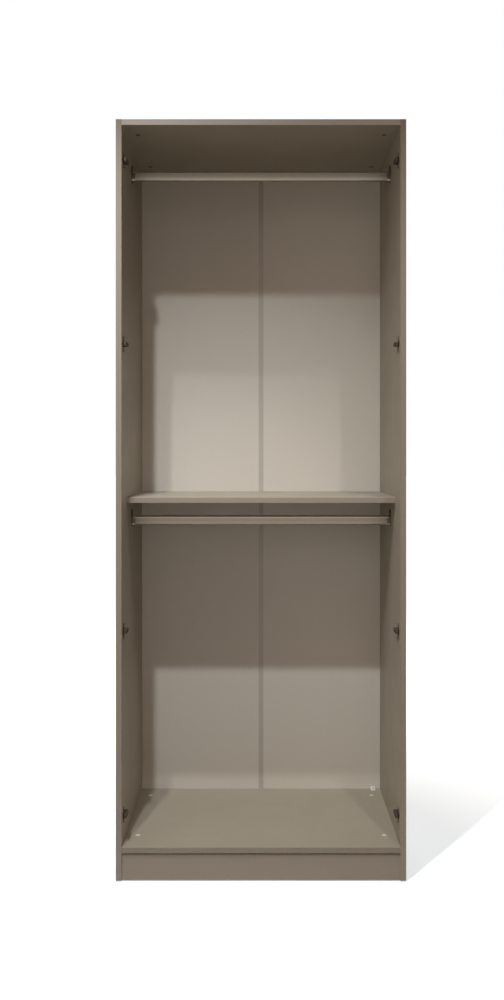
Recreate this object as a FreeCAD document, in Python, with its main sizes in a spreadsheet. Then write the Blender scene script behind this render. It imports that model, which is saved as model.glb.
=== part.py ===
import FreeCAD, Part
import Sketcher
import os
import re

# An open wardrobe carcass without doors, in millimetres. It stands on z = 0, faces -Y and is centred on x = 0.
SIZES = {
    # Boards
    "carcass_width": 800,
    "carcass_height": 2100,
    "carcass_depth": 516,
    "side_thickness": 16,
    "panel_thickness": 16,
    "shelf_thickness": 16,
    "shelf_depth": 400,
    "shelf_height": 1053,
    "shelf_rear_gap": 2,
    "plinth_height": 75,
    "plinth_thickness": 16,
    "plinth_setback": 4,
    "plinth_front_gap": 4,
    "plinth_rear_inset": 20,
    "band_thickness": 1,
    "band_radius": 0.8,
    # Back and its joint strip
    "back_thickness": 3,
    "back_inset": 2,
    "strip_width": 15,
    "strip_flange": 1,
    "strip_web": 1.2,
    "strip_clearance": 0.1,
    "strip_end_gap": 1,
    # Fits
    "fit_clearance": 0.1,
    "bore_end_gap": 1,
    "bore_floor": 4,
    # Cam locks and their bolts, and the dowels of the plinth
    "cam_diameter": 15,
    "cam_height": 12,
    "cam_recess": 0.2,
    "cam_setback": 34,
    "cam_front_inset": 98,
    "cam_rear_inset": 66,
    "cam_slot_length": 9,
    "cam_slot_width": 1.8,
    "cam_slot_depth": 2.2,
    "shelf_cam_inset": 64,
    "bolt_diameter": 5,
    "bolt_head_diameter": 7.5,
    "bolt_head_length": 3,
    "dowel_diameter": 8,
    "dowel_length": 32,
    "dowel_height": 38,
    # Hanging rails and the sockets that carry their ends
    "rail_height": 30,
    "rail_width": 15,
    "rail_wall": 1,
    "rail_setback": 235,
    "rail_clearance": 0.3,
    "rail_end_gap": 1,
    "upper_rail_drop": 84,
    "lower_rail_drop": 57,
    "socket_width": 24,
    "socket_plate": 3,
    "socket_wall": 1.8,
    "socket_depth": 8,
    "socket_rise": 7,
    "socket_ear": 33,
    "socket_foot": 19,
    "socket_screw_rise": 24,
    "socket_hole_diameter": 4,
    # Hinge mounting plates
    "hinge_setback": 37,
    "hinge_top_inset": 104,
    "hinge_bottom_height": 172,
    "hinge_spacing": 512,
    "wing_height": 44,
    "wing_width": 12,
    "wing_thickness": 2.5,
    "saddle_front": 10,
    "saddle_rear": 34,
    "saddle_width": 12,
    "saddle_tail_start": 20,
    "saddle_tail_width": 9,
    "saddle_height": 11,
    "saddle_bevel": 1.5,
    "groove_length": 14,
    "groove_width": 6.4,
    "groove_depth": 2,
    "arm_hole_diameter": 5.2,
    "arm_hole_setback": 16,
    "wing_hole_spacing": 32,
    "wing_hole_diameter": 5.5,
    # Feet and the clip at the foot of the back
    "glide_diameter": 14,
    "glide_height": 3,
    "glide_inset": 40,
    "clip_width": 14,
    "clip_depth": 20,
    "clip_height": 8,
    "clip_wall": 3,
    "clip_side_distance": 24,
    "clip_hole_inset": 12,
    "clip_hole_diameter": 4,
    "clip_back_gap": 0.2,
}

# The most of a band's thickness that its rounded corners may take
ROUNDED_SHARE = 0.9

# Places that several pieces share, worked out from the sizes
HALF_INSIDE = "(carcass_width / 2 - side_thickness)"
SIDE_BORE = "(side_thickness - bore_floor)"
PEG_REACH = f"({SIDE_BORE} - bore_end_gap)"
FRONT = "(-(carcass_depth + back_thickness + strip_clearance + strip_flange) / 2)"
REAR = f"({FRONT} + carcass_depth)"
FLOOR_UNDERSIDE = "(glide_height + plinth_height)"
FLOOR_TOP = f"({FLOOR_UNDERSIDE} + panel_thickness)"
CEILING = "(carcass_height - panel_thickness)"
SHELF_UNDERSIDE = "(shelf_height - shelf_thickness)"
SHELF_SETBACK = "(carcass_depth - shelf_rear_gap - shelf_depth)"
PLINTH_REAR_SETBACK = "(carcass_depth - plinth_rear_inset - plinth_thickness)"
RAILS = {"upper": f"({CEILING} - upper_rail_drop)", "lower": f"({SHELF_UNDERSIDE} - lower_rail_drop)"}
HINGES = {
    1: "hinge_bottom_height",
    2: "(hinge_bottom_height + hinge_spacing)",
    3: "(carcass_height - hinge_top_inset - hinge_spacing)",
    4: "(carcass_height - hinge_top_inset)",
}
HANDS = {"left": -1, "right": 1}
BAND_ROUND = f"min(band_radius; {ROUNDED_SHARE} * band_thickness)"
BACK_LOW = f"({FLOOR_UNDERSIDE} + back_inset)"
BACK_HIGH = "(carcass_height - back_inset)"
SHELF_FRONT = f"({FRONT} + {SHELF_SETBACK})"
CARCASS_INSETS = ("cam_front_inset", "cam_rear_inset")
SHELF_INSETS = ("shelf_cam_inset", "shelf_cam_inset")
CLIP_X = f"({HALF_INSIDE} - clip_side_distance)"

V = FreeCAD.Vector
RIGHT = V(1, 0, 0)
REARWARD = V(0, 1, 0)
UP = V(0, 0, 1)
DOWN = V(0, 0, -1)

doc = FreeCAD.newDocument("OpenWardrobe")
pieces = []


def make_sheet():
    """Writes every driving size into one named cell."""
    sheet = doc.addObject("Spreadsheet::Sheet", "Sizes")
    for row, (alias, size) in enumerate(SIZES.items(), start=1):
        sheet.set(f"A{row}", alias)
        sheet.set(f"B{row}", str(size))
        sheet.setAlias(f"B{row}", alias)
    doc.recompute()


def tied(text):
    """An expression in which each size is read from its cell."""
    return re.sub(r"[a-z]+(?:_[a-z]+)+", r"Sizes.\g<0>", str(text))


def place(item, x="0", y="0", z="0"):
    for axis, text in zip("xyz", (x, y, z)):
        item.setExpression(f"Placement.Base.{axis}", tied(text))


def turned(x_axis, z_axis):
    """The rotation that sends a form's own x and z axes to these directions."""
    return FreeCAD.Rotation(x_axis, V(), z_axis, "ZXY")


def new_body(label):
    return doc.addObject("PartDesign::Body", label)


def origin_plane(body, role):
    return next(item for item in body.Origin.OriginFeatures if item.Role == role)


def sketch(body, name, role, at="0"):
    """An empty sketch on one of the body's planes, moved to a place along the plane's axis."""
    made = body.newObject("Sketcher::SketchObject", f"{body.Name}_{name}")
    made.AttachmentSupport = [(origin_plane(body, role), "")]
    made.MapMode = "FlatFace"
    made.setExpression("AttachmentOffset.Base.z", tied(f"{normal_sign(made)} * ({at})"))
    return made


def normal_sign(flat):
    """Which way a sketch faces along its plane's axis: the XZ plane faces -Y, the others their own axis."""
    return -1 if flat.AttachmentSupport[0][0].Role == "XZ_Plane" else 1


def limit(flat, kind, *where, now, to):
    """Adds one dimension to a sketch as it is drawn, then ties it to the sheet."""
    number = flat.addConstraint(Sketcher.Constraint(kind, *where, now))
    flat.setExpression(f"Constraints[{number}]", tied(to))


def pin_point(flat, item, point, across, up):
    drawn = flat.getPoint(item, point)
    limit(flat, "DistanceX", -1, 1, item, point, now=drawn.x, to=across)
    limit(flat, "DistanceY", -1, 1, item, point, now=drawn.y, to=up)


def polygon(flat, corners):
    """A closed outline of straight lines whose corners are all given from the sketch's origin."""
    count = len(corners)
    start = [V(1, 0, 0).add(FreeCAD.Rotation(UP, 360 * n / count).multVec(RIGHT)) for n in range(count)]
    lines = [flat.addGeometry(Part.LineSegment(start[n - 1], start[n])) for n in range(count)]
    for n, (across, up) in enumerate(corners):
        flat.addConstraint(Sketcher.Constraint("Coincident", lines[n], 2, lines[(n + 1) % count], 1))
        pin_point(flat, lines[n], 2, across, up)


def rectangle(flat, left, bottom, width, height):
    right = f"{left} + {width}"
    top = f"{bottom} + {height}"
    polygon(flat, [(left, bottom), (right, bottom), (right, top), (left, top)])


def circles(flat, diameter, centres):
    for across, up in centres:
        ring = flat.addGeometry(Part.Circle(V(1, 1, 0), UP, 1))
        pin_point(flat, ring, 3, across, up)
        limit(flat, "Diameter", ring, now=2, to=diameter)


def round_end(flat, across, up, width, first_angle):
    """Half a circle on which an upright outline ends."""
    circle = Part.Circle(V(0, 2 if first_angle == 0 else -2, 0), UP, 1)
    end = flat.addGeometry(Part.ArcOfCircle(circle, first_angle, first_angle + 3.14159265))
    pin_point(flat, end, 3, across, up)
    limit(flat, "Diameter", end, now=2, to=width)
    return end


def upright_slot(flat, low, high, width):
    """An outline with two straight sides and two round ends, between a lowest and a highest point."""
    top = round_end(flat, "0", f"{high} - {width} / 2", width, 0)
    bottom = round_end(flat, "0", f"{low} + {width} / 2", width, 3.14159265)
    left = flat.addGeometry(Part.LineSegment(V(-1, 2, 0), V(-1, -2, 0)))
    right = flat.addGeometry(Part.LineSegment(V(1, -2, 0), V(1, 2, 0)))
    run = [top, left, bottom, right]
    for item, following in zip(run, run[1:] + run[:1]):
        flat.addConstraint(Sketcher.Constraint("Tangent", item, 2, following, 1))


def upright_cup(flat, low, high, width):
    """The same outline with a flat top."""
    bottom = round_end(flat, "0", f"{low} + {width} / 2", width, 3.14159265)
    right = flat.addGeometry(Part.LineSegment(V(1, -2, 0), V(1, 2, 0)))
    top = flat.addGeometry(Part.LineSegment(V(1, 2, 0), V(-1, 2, 0)))
    left = flat.addGeometry(Part.LineSegment(V(-1, 2, 0), V(-1, -2, 0)))
    flat.addConstraint(Sketcher.Constraint("Tangent", bottom, 2, right, 1))
    flat.addConstraint(Sketcher.Constraint("Coincident", right, 2, top, 1))
    flat.addConstraint(Sketcher.Constraint("Coincident", top, 2, left, 1))
    flat.addConstraint(Sketcher.Constraint("Tangent", left, 2, bottom, 1))
    flat.addConstraint(Sketcher.Constraint("Horizontal", top))
    flat.addConstraint(Sketcher.Constraint("Vertical", left))
    flat.addConstraint(Sketcher.Constraint("Vertical", right))
    limit(flat, "DistanceY", -1, 1, top, 1, now=2, to=high)


def pad(body, flat, length, towards=1):
    """Adds material from a sketch, towards plus or minus along its plane's axis."""
    made = body.newObject("PartDesign::Pad", f"{flat.Name}_pad")
    made.Profile = flat
    made.setExpression("Length", tied(length))
    made.Reversed = towards != normal_sign(flat)
    return made


def pocket(body, flat, depth, towards):
    """Cuts from a sketch, towards plus or minus along its plane's axis."""
    made = body.newObject("PartDesign::Pocket", f"{flat.Name}_pocket")
    made.Profile = flat
    made.setExpression("Length", tied(depth))
    made.Reversed = towards == normal_sign(flat)
    return made


def mirror(body, features):
    """Repeats features on the other half of a piece that is centred on x = 0."""
    made = body.newObject("PartDesign::Mirrored", f"{body.Name}_mirror")
    made.Originals = features
    made.MirrorPlane = (origin_plane(body, "YZ_Plane"), [""])
    body.Tip = made
    return made


def ease(body, feature, kind, size, chosen):
    """Rounds (Fillet) or bevels (Chamfer) the edges of a feature that pass a test."""
    doc.recompute()
    names = [f"Edge{n}" for n, edge in enumerate(feature.Shape.Edges, start=1) if chosen(edge.BoundBox)]
    made = body.newObject(f"PartDesign::{kind}", f"{feature.Name}_eased")
    made.Base = (feature, names)
    made.setExpression("Radius" if kind == "Fillet" else "Size", tied(size))


def on_level(height):
    """A test for edges that lie flat at a size's height."""
    return lambda box: abs(box.ZMin - SIZES[height]) < 0.001 and box.ZLength < 0.001


def bore(diameter):
    return f"{diameter} + 2 * fit_clearance"


def joint_spots():
    """Where the bolts enter a side: distance behind the front, height above the floor."""
    spots = []
    rear = "carcass_depth - cam_rear_inset"
    for height in (f"{CEILING} + panel_thickness / 2", f"{FLOOR_UNDERSIDE} + panel_thickness / 2"):
        spots += [("cam_front_inset", height), (rear, height)]
    height = f"{SHELF_UNDERSIDE} + shelf_thickness / 2"
    shelf_rear = "carcass_depth - shelf_rear_gap - shelf_cam_inset"
    return spots + [(f"{SHELF_SETBACK} + shelf_cam_inset", height), (shelf_rear, height)]


def dowel_spots():
    """Where the dowels of the two plinth boards enter a side."""
    setbacks = ("plinth_setback", PLINTH_REAR_SETBACK)
    return [(f"{setback} + plinth_thickness / 2", "glide_height + dowel_height") for setback in setbacks]


def side(hand_name):
    """A full-height side. Its inner face is its own x = 0, its y starts at the front and its z at the floor."""
    hand = HANDS[hand_name]
    body = new_body(f"{hand_name}_side")
    outline = sketch(body, "outline", "YZ_Plane")
    rectangle(outline, "band_thickness", "glide_height", "carcass_depth - band_thickness",
              "carcass_height - glide_height")
    pad(body, outline, "side_thickness", towards=hand)
    holes = sketch(body, "bores", "YZ_Plane")
    circles(holes, bore("bolt_diameter"), joint_spots())
    circles(holes, bore("dowel_diameter"), dowel_spots())
    pocket(body, holes, SIDE_BORE, towards=hand)
    place(body, x=f"{hand} * {HALF_INSIDE}", y=FRONT)
    pieces.append(body)


def end_bores(body, name, diameter, depth, spots):
    """Bores in the left end of a board that spans the inside: distance along the end, height up it."""
    holes = sketch(body, name, "YZ_Plane", at=f"-{HALF_INSIDE}")
    circles(holes, bore(diameter), spots)
    return pocket(body, holes, depth, towards=1)


def panel(label, thickness, depth, insets, cams_on_top):
    """A level board between the sides, with cam bores in one face; its y starts at its banded front."""
    body = new_body(label)
    outline = sketch(body, "outline", "XY_Plane")
    rectangle(outline, f"-{HALF_INSIDE}", "band_thickness", f"2 * {HALF_INSIDE}", f"{depth} - band_thickness")
    pad(body, outline, thickness)
    along = (insets[0], f"{depth} - {insets[1]}")
    cams = sketch(body, "cam_bores", "XY_Plane", at=thickness if cams_on_top else "0")
    circles(cams, bore("cam_diameter"), [(f"-({HALF_INSIDE} - cam_setback)", y) for y in along])
    cam_cut = pocket(body, cams, "cam_height + cam_recess", towards=-1 if cams_on_top else 1)
    middle = f"{thickness} / 2"
    bolt_cut = end_bores(body, "bolt_bores", "bolt_head_diameter", "cam_setback", [(y, middle) for y in along])
    mirror(body, [cam_cut, bolt_cut])
    pieces.append(body)
    return body


def level_boards():
    """Top, bottom and shelf, each with the band on its front edge."""
    top = panel("top_panel", "panel_thickness", "carcass_depth", CARCASS_INSETS, cams_on_top=False)
    bottom = panel("bottom_panel", "panel_thickness", "carcass_depth", CARCASS_INSETS, cams_on_top=True)
    shelf = panel("middle_shelf", "shelf_thickness", "shelf_depth", SHELF_INSETS, cams_on_top=False)
    for body, thickness, y, z in (
        (top, "panel_thickness", FRONT, CEILING),
        (bottom, "panel_thickness", FRONT, FLOOR_UNDERSIDE),
        (shelf, "shelf_thickness", SHELF_FRONT, SHELF_UNDERSIDE),
    ):
        place(body, y=y, z=z)
        level_band(f"{body.Label}_band", thickness, y, z)


def plinth(label, setback, height):
    """A plinth board between the sides, dowelled to them; its own y = 0 is its front face."""
    body = new_body(label)
    outline = sketch(body, "outline", "XZ_Plane")
    rectangle(outline, f"-{HALF_INSIDE}", "0", f"2 * {HALF_INSIDE}", height)
    pad(body, outline, "plinth_thickness", towards=1)
    depth = f"dowel_length - {PEG_REACH} + bore_end_gap"
    spots = [("plinth_thickness / 2", "dowel_height")]
    mirror(body, [end_bores(body, "dowel_bores", "dowel_diameter", depth, spots)])
    place(body, y=f"{FRONT} + {setback}", z="glide_height")
    pieces.append(body)


def side_band(hand_name):
    """The band on a side's front edge, with its two long front corners rounded."""
    body = new_body(f"{hand_name}_side_band")
    outline = sketch(body, "outline", "XY_Plane", at="glide_height")
    rectangle(outline, "0", "0", "side_thickness", "band_thickness")
    strip = pad(body, outline, "carcass_height - glide_height")
    ease(body, strip, "Fillet", BAND_ROUND, lambda box: box.YMax < 0.001 and box.ZLength > box.XLength)
    reach = HALF_INSIDE if HANDS[hand_name] > 0 else "-carcass_width / 2"
    place(body, x=reach, y=FRONT)
    pieces.append(body)


def level_band(label, thickness, y, z):
    """The band on a level board's front edge."""
    body = new_body(label)
    outline = sketch(body, "outline", "YZ_Plane", at=f"-{HALF_INSIDE}")
    rectangle(outline, "0", "0", "band_thickness", thickness)
    strip = pad(body, outline, f"2 * {HALF_INSIDE}")
    ease(body, strip, "Fillet", BAND_ROUND, lambda box: box.YMax < 0.001 and box.XLength > box.ZLength)
    place(body, y=y, z=z)
    pieces.append(body)


def back_panel(hand_name):
    """One half of the back, flat against the rear edges of the boards."""
    hand = HANDS[hand_name]
    body = new_body(f"back_panel_{hand_name}")
    outline = sketch(body, "outline", "XZ_Plane")
    inner = f"{hand} * (strip_web / 2 + strip_clearance)"
    outer = f"{hand} * (carcass_width / 2 - back_inset)"
    polygon(outline, [(inner, BACK_LOW), (outer, BACK_LOW), (outer, BACK_HIGH), (inner, BACK_HIGH)])
    pad(body, outline, "back_thickness", towards=1)
    place(body, y=REAR)
    pieces.append(body)


def joint_strip():
    """The H-shaped strip that holds the two halves of the back edge to edge."""
    body = new_body("back_joint_strip")
    outline = sketch(body, "outline", "XY_Plane", at=f"{FLOOR_TOP} + strip_end_gap")
    flange = "strip_width / 2"
    web = "strip_web / 2"
    ahead = "-strip_clearance"
    behind = "back_thickness + strip_clearance"
    half = [
        (flange, f"{ahead} - strip_flange"),
        (flange, ahead),
        (web, ahead),
        (web, behind),
        (flange, behind),
        (flange, f"{behind} + strip_flange"),
    ]
    polygon(outline, half + [(f"-{across}", along) for across, along in reversed(half)])
    pad(body, outline, f"{CEILING} - {FLOOR_TOP} - 2 * strip_end_gap")
    place(body, y=REAR)
    pieces.append(body)


def hanging_rail(name):
    """A hollow rail of flat-sided oval section, along X about its own middle."""
    body = new_body(f"{name}_rail")
    half_length = f"({HALF_INSIDE} - socket_plate - rail_end_gap)"
    section = sketch(body, "section", "YZ_Plane", at=f"-{half_length}")
    for wall in ("0", "rail_wall"):
        reach = f"(rail_height / 2 - {wall})"
        upright_slot(section, f"-{reach}", reach, f"(rail_width - 2 * {wall})")
    pad(body, section, f"2 * {half_length}")
    place(body, y=f"{FRONT} + rail_setback", z=RAILS[name])
    pieces.append(body)


def rail_socket(level, hand_name):
    """A socket open at the top: an eared plate with a round-bottomed cup, about the rail's axis."""
    hand = HANDS[hand_name]
    body = new_body(f"rail_socket_{level}_{hand_name}")
    plate = sketch(body, "plate", "XY_Plane")
    upright_slot(plate, "-socket_foot", "socket_ear", "socket_width")
    pad(body, plate, "socket_plate")
    cup_width = "(rail_width + 2 * rail_clearance)"
    cup_low = "(-rail_height / 2 - rail_clearance)"
    wall = sketch(body, "cup_wall", "XY_Plane", at="socket_plate")
    upright_cup(wall, f"({cup_low} - socket_wall)", "socket_rise", f"({cup_width} + 2 * socket_wall)")
    pad(body, wall, "socket_depth")
    hollow = sketch(body, "cup_hollow", "XY_Plane", at="socket_plate + socket_depth")
    upright_cup(hollow, cup_low, "socket_rise + socket_wall", cup_width)
    pocket(body, hollow, "socket_depth", towards=-1)
    holes = sketch(body, "screw_hole", "XY_Plane", at="socket_plate")
    circles(holes, "socket_hole_diameter", [("0", "socket_screw_rise")])
    pocket(body, holes, "socket_plate", towards=-1)
    body.Placement = FreeCAD.Placement(V(), turned(REARWARD * -hand, RIGHT * -hand))
    place(body, x=f"{hand} * {HALF_INSIDE}", y=f"{FRONT} + rail_setback", z=RAILS[level])
    pieces.append(body)


def hinge_plate(hand_name, number):
    """A cross-shaped mounting plate: two wings with screw holes and a saddle that takes the hinge arm."""
    hand = HANDS[hand_name]
    body = new_body(f"hinge_plate_{hand_name}_{number}")
    wings = sketch(body, "wings", "XY_Plane")
    upright_slot(wings, "-wing_height / 2", "wing_height / 2", "wing_width")
    pad(body, wings, "wing_thickness")
    saddle = sketch(body, "saddle", "XY_Plane")
    half = "saddle_width / 2"
    tail = "saddle_tail_width / 2"
    polygon(saddle, [
        ("-saddle_front", f"-{half}"),
        ("saddle_tail_start", f"-{half}"),
        ("saddle_rear", f"-{tail}"),
        ("saddle_rear", tail),
        ("saddle_tail_start", half),
        ("-saddle_front", half),
    ])
    raised = pad(body, saddle, "saddle_height")
    ease(body, raised, "Chamfer", "saddle_bevel", on_level("saddle_height"))
    groove = sketch(body, "groove", "XY_Plane", at="saddle_height")
    rectangle(groove, "-saddle_front", "-groove_width / 2", "groove_length", "groove_width")
    pocket(body, groove, "groove_depth", towards=-1)
    arm_hole = sketch(body, "arm_hole", "XY_Plane", at="saddle_height")
    circles(arm_hole, "arm_hole_diameter", [("arm_hole_setback", "0")])
    pocket(body, arm_hole, "saddle_height", towards=-1)
    holes = sketch(body, "screw_holes", "XY_Plane", at="wing_thickness")
    circles(holes, "wing_hole_diameter", [("0", f"{end} * wing_hole_spacing / 2") for end in (-1, 1)])
    pocket(body, holes, "wing_thickness", towards=-1)
    body.Placement = FreeCAD.Placement(V(), turned(REARWARD, RIGHT * -hand))
    place(body, x=f"{hand} * {HALF_INSIDE}", y=f"{FRONT} + hinge_setback", z=HINGES[number])
    pieces.append(body)


def back_clip():
    """A small angle screwed to the floor, against the foot of the back."""
    body = new_body("back_clip")
    profile = sketch(body, "profile", "YZ_Plane", at="-clip_width / 2")
    polygon(profile, [
        ("0", "0"),
        ("0", "clip_height"),
        ("-clip_wall", "clip_height"),
        ("-clip_wall", "clip_wall"),
        ("-clip_depth", "clip_wall"),
        ("-clip_depth", "0"),
    ])
    pad(body, profile, "clip_width")
    hole = sketch(body, "screw_hole", "XY_Plane", at="clip_wall")
    circles(hole, "clip_hole_diameter", [("0", "-clip_hole_inset")])
    pocket(body, hole, "clip_wall", towards=-1)
    place(body, x=CLIP_X, y=f"{REAR} - clip_back_gap", z=FLOOR_TOP)
    pieces.append(body)


def turned_form(label, profile):
    """A round piece about its own z, from half its outline as radius and height."""
    body = new_body(label)
    half = sketch(body, "half", "XZ_Plane")
    polygon(half, profile)
    made = body.newObject("PartDesign::Revolution", f"{label}_turn")
    made.Profile = half
    made.ReferenceAxis = (half, ["V_Axis"])
    return body


def cam_form(board):
    """A cam lock for a board: its slotted face is z = 0, its bolt comes in along -X, its hook opens below."""
    body = new_body(f"{board}_cam_form")
    drum = sketch(body, "drum", "XY_Plane", at="-cam_height")
    circles(drum, "cam_diameter", [("0", "0")])
    pad(body, drum, "cam_height")
    axis_height = f"(cam_height + cam_recess - {board}_thickness / 2)"
    head_room = f"({bore('bolt_head_length')})"
    for name, reach, span, diameter in (
        ("hook", f"{head_room} / 2", head_room, "bolt_head_diameter"),
        ("mouth", "0", "cam_diameter", "bolt_diameter"),
    ):
        opening = sketch(body, name, "XY_Plane", at="-cam_height")
        width = f"({bore(diameter)})"
        rectangle(opening, f"{reach} - {span}", f"-{width} / 2", span, width)
        pocket(body, opening, f"{axis_height} + {width} / 2", towards=1)
    for name, across, up in (
        ("slot_along", "cam_slot_length", "cam_slot_width"),
        ("slot_across", "cam_slot_width", "cam_slot_length"),
    ):
        slot = sketch(body, name, "XY_Plane")
        rectangle(slot, f"-{across} / 2", f"-{up} / 2", across, up)
        pocket(body, slot, "cam_slot_depth", towards=-1)
    return body


def bolt_form():
    """A cam bolt along its own z: driven into the side below z = 0, with a head that the cam hooks."""
    shank = "bolt_diameter / 2"
    head = "bolt_head_diameter / 2"
    head_low = "cam_setback - bolt_head_length / 2"
    head_high = "cam_setback + bolt_head_length / 2"
    return turned_form("bolt_form", [
        ("0", f"-{PEG_REACH}"),
        (shank, f"-{PEG_REACH}"),
        (shank, head_low),
        (head, head_low),
        (head, head_high),
        ("0", head_high),
    ])


def round_form(label, diameter, height):
    """A plain round piece along its own z, from z = 0."""
    form = doc.addObject("Part::Cylinder", label)
    form.setExpression("Radius", tied(f"{diameter} / 2"))
    form.setExpression("Height", tied(height))
    return form


def group(label, form, spots):
    """Copies of one fastener as separate solids of one piece: each has a rotation and a place."""
    copies = []
    for number, (turn, x, y, z) in enumerate(spots, start=1):
        copy = doc.addObject("App::Link", f"{label}_{number}")
        copy.LinkedObject = form
        copy.Placement = FreeCAD.Placement(V(), turn)
        place(copy, x, y, z)
        copies.append(copy)
    made = doc.addObject("Part::Compound", label)
    made.Links = copies
    pieces.append(made)


def level_joints(name, board, front, depth, insets, underside, facing):
    """The cams and bolts of a level board, whose cams face up or down."""
    thickness = f"{board}_thickness"
    along = (f"{front} + {insets[0]}", f"{front} + {depth} - {insets[1]}")
    middle = f"{underside} + {thickness} / 2"
    face = f"{underside} + {thickness} - cam_recess" if facing == UP else f"{underside} + cam_recess"
    cams = []
    bolts = []
    for hand in HANDS.values():
        inward = RIGHT * -hand
        for y in along:
            cams.append((turned(inward, facing), f"{hand} * ({HALF_INSIDE} - cam_setback)", y, face))
            bolts.append((turned(UP, inward), f"{hand} * {HALF_INSIDE}", y, middle))
    group(f"{name}_cams", FORMS[f"{board}_cam"], cams)
    group(f"{name}_cam_bolts", FORMS["bolt"], bolts)


def plinth_dowels():
    spots = []
    for hand in HANDS.values():
        inward = turned(UP, RIGHT * -hand)
        end = f"{hand} * ({HALF_INSIDE} + {PEG_REACH})"
        spots += [(inward, end, f"{FRONT} + {along}", up) for along, up in dowel_spots()]
    group("plinth_dowels", FORMS["dowel"], spots)


def floor_glides():
    level = turned(RIGHT, UP)
    along = (f"{FRONT} + glide_inset", f"{REAR} - glide_inset")
    across = [f"{hand} * (carcass_width / 2 - side_thickness / 2)" for hand in HANDS.values()]
    group("floor_glides", FORMS["glide"], [(level, x, y, "0") for x in across for y in along])


def check():
    """Stops if anything failed to build, is not a sound solid or cut nothing."""
    doc.recompute()
    faults = [item.Name for item in doc.Objects if {"Invalid", "Error"} & set(item.State)]
    for item in doc.Objects:
        if item.TypeId == "PartDesign::Pocket" and item.Shape.Volume >= item.BaseFeature.Shape.Volume:
            faults.append(f"{item.Name} cuts nothing")
    for piece in pieces:
        if piece.Shape.isNull() or not piece.Shape.isValid():
            faults.append(f"{piece.Label} is not sound")
    if faults:
        raise RuntimeError(", ".join(faults))


def export():
    os.makedirs("parts", exist_ok=True)
    for piece in pieces:
        piece.Shape.exportStep(f"parts/{piece.Label}.step")


make_sheet()
FORMS = {
    "panel_cam": cam_form("panel"),
    "shelf_cam": cam_form("shelf"),
    "bolt": bolt_form(),
    "dowel": round_form("dowel_form", "dowel_diameter", "dowel_length"),
    "glide": round_form("glide_form", "glide_diameter", "glide_height"),
}
for hand_name in HANDS:
    side(hand_name)
    side_band(hand_name)
    back_panel(hand_name)
level_boards()
plinth("plinth_front", "plinth_setback", "plinth_height - plinth_front_gap")
plinth("plinth_rear", PLINTH_REAR_SETBACK, "plinth_height")
joint_strip()
back_clip()
for level in RAILS:
    hanging_rail(level)
    for hand_name in HANDS:
        rail_socket(level, hand_name)
for hand_name in HANDS:
    for number in HINGES:
        hinge_plate(hand_name, number)
level_joints("top", "panel", FRONT, "carcass_depth", CARCASS_INSETS, CEILING, DOWN)
level_joints("bottom", "panel", FRONT, "carcass_depth", CARCASS_INSETS, FLOOR_UNDERSIDE, UP)
level_joints("shelf", "shelf", SHELF_FRONT, "shelf_depth", SHELF_INSETS, SHELF_UNDERSIDE, DOWN)
plinth_dowels()
floor_glides()
check()
export()
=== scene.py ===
import math

import bmesh
import bpy
from mathutils import Matrix, Vector


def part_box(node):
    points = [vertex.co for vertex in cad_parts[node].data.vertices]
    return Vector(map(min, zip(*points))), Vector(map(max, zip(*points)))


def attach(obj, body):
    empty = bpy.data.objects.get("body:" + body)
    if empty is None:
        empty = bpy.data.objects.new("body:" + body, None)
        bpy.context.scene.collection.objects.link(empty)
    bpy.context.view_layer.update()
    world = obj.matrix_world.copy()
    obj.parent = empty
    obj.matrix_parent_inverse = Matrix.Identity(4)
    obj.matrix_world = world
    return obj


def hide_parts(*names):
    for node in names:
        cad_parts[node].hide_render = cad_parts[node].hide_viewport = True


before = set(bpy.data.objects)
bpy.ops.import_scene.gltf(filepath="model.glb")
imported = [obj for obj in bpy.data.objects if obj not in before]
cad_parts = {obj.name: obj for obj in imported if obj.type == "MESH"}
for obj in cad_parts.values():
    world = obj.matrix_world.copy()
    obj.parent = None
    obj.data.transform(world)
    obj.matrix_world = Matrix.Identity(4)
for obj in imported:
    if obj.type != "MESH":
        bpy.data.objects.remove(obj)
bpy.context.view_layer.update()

MM = 0.001
HANDS = {"left": -1, "right": 1}
LEVELS = ("upper", "lower")
X_AXIS = Vector((1, 0, 0))
Y_AXIS = Vector((0, 1, 0))
Z_AXIS = Vector((0, 0, 1))
WHITE = (1, 1, 1, 1)


def size_of(node):
    """The size of a CAD node's box."""
    low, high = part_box(node)
    return high - low


def middle_of(node):
    """The middle of a CAD node's box."""
    low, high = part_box(node)
    return (low + high) / 2


# Node trees

def add(tree, kind, inputs=None, **settings):
    """One node: settings are its own properties, inputs are constants or sockets to link."""
    made = tree.nodes.new(kind)
    for name, value in settings.items():
        setattr(made, name, value)
    for name, value in (inputs or {}).items():
        if isinstance(value, bpy.types.NodeSocket):
            tree.links.new(value, made.inputs[name])
        else:
            made.inputs[name].default_value = value
    return made


def maths(tree, operation, first, second=0.0):
    return add(tree, "ShaderNodeMath", {0: first, 1: second}, operation=operation).outputs[0]


def vector_maths(tree, operation, first, second):
    return add(tree, "ShaderNodeVectorMath", {0: first, 1: second}, operation=operation).outputs[0]


def any_of(tree, masks):
    """A mask that is on wherever one of these masks is."""
    joined = masks[0]
    for mask in masks[1:]:
        joined = maths(tree, "MAXIMUM", joined, mask)
    return joined


def spread(tree, value, low, high, new_low=0.0, new_high=1.0):
    """Maps a value from one range to another, held at the ends."""
    inputs = {"Value": value, "From Min": low, "From Max": high, "To Min": new_low, "To Max": new_high}
    return add(tree, "ShaderNodeMapRange", inputs).outputs["Result"]


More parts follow.
